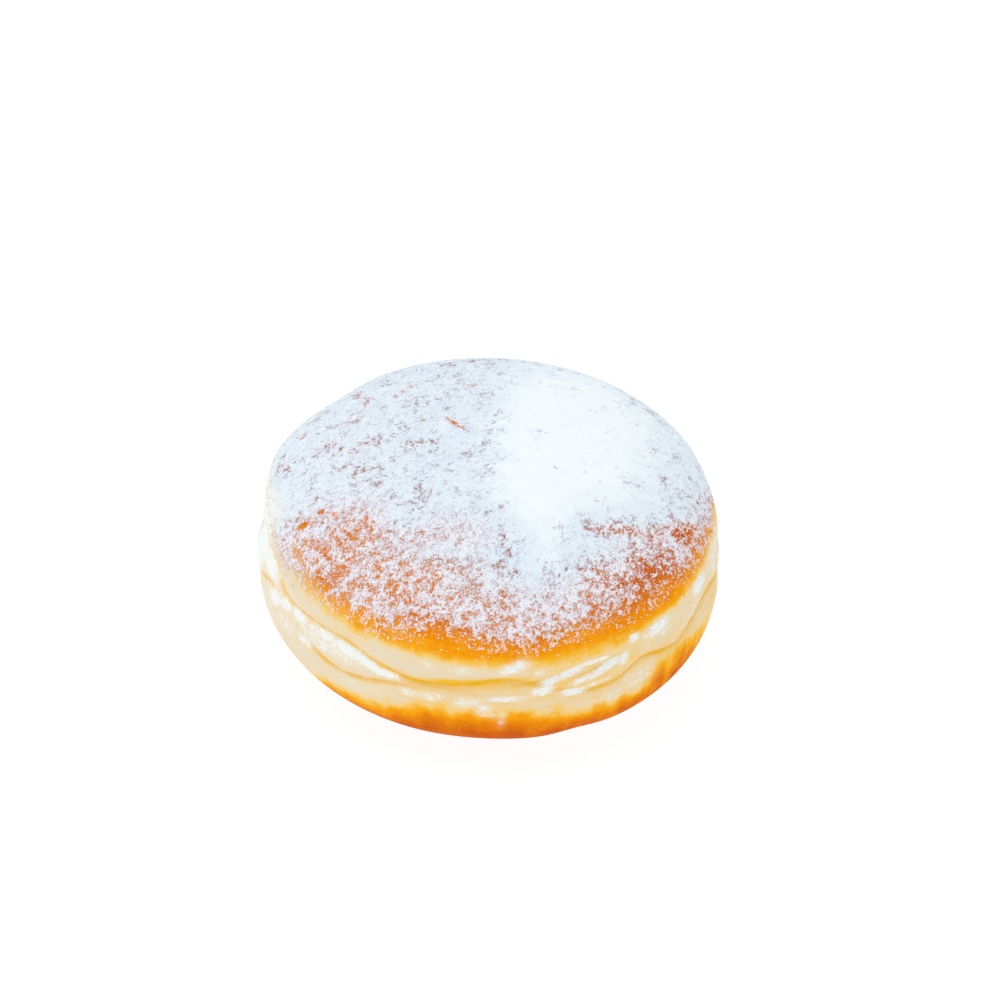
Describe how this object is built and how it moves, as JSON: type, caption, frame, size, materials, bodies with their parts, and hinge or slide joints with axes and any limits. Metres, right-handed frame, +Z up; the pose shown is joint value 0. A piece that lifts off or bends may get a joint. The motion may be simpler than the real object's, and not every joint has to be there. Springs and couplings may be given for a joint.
{
  "type": "sugar dusted doughnut",
  "caption": "Round fried doughnut without a hole, with a pale folded waist and a brown crown dusted with icing sugar, served whole as food.",
  "frame": {"origin": "middle of the doughnut's footprint, on the surface that it rests on", "axes": "+Z up through the crown; -Y is the side that faces the viewer, and +X is the viewer's right"},
  "size_m": [0.0904, 0.0894, 0.0491],
  "materials": {
    "dough": "soft fried dough, golden brown on the crown and the base and pale round the waist, dusted with white icing sugar"
  },
  "bodies": {
    "root": {"doughnut": "dough"}
  },
  "joints": []
}
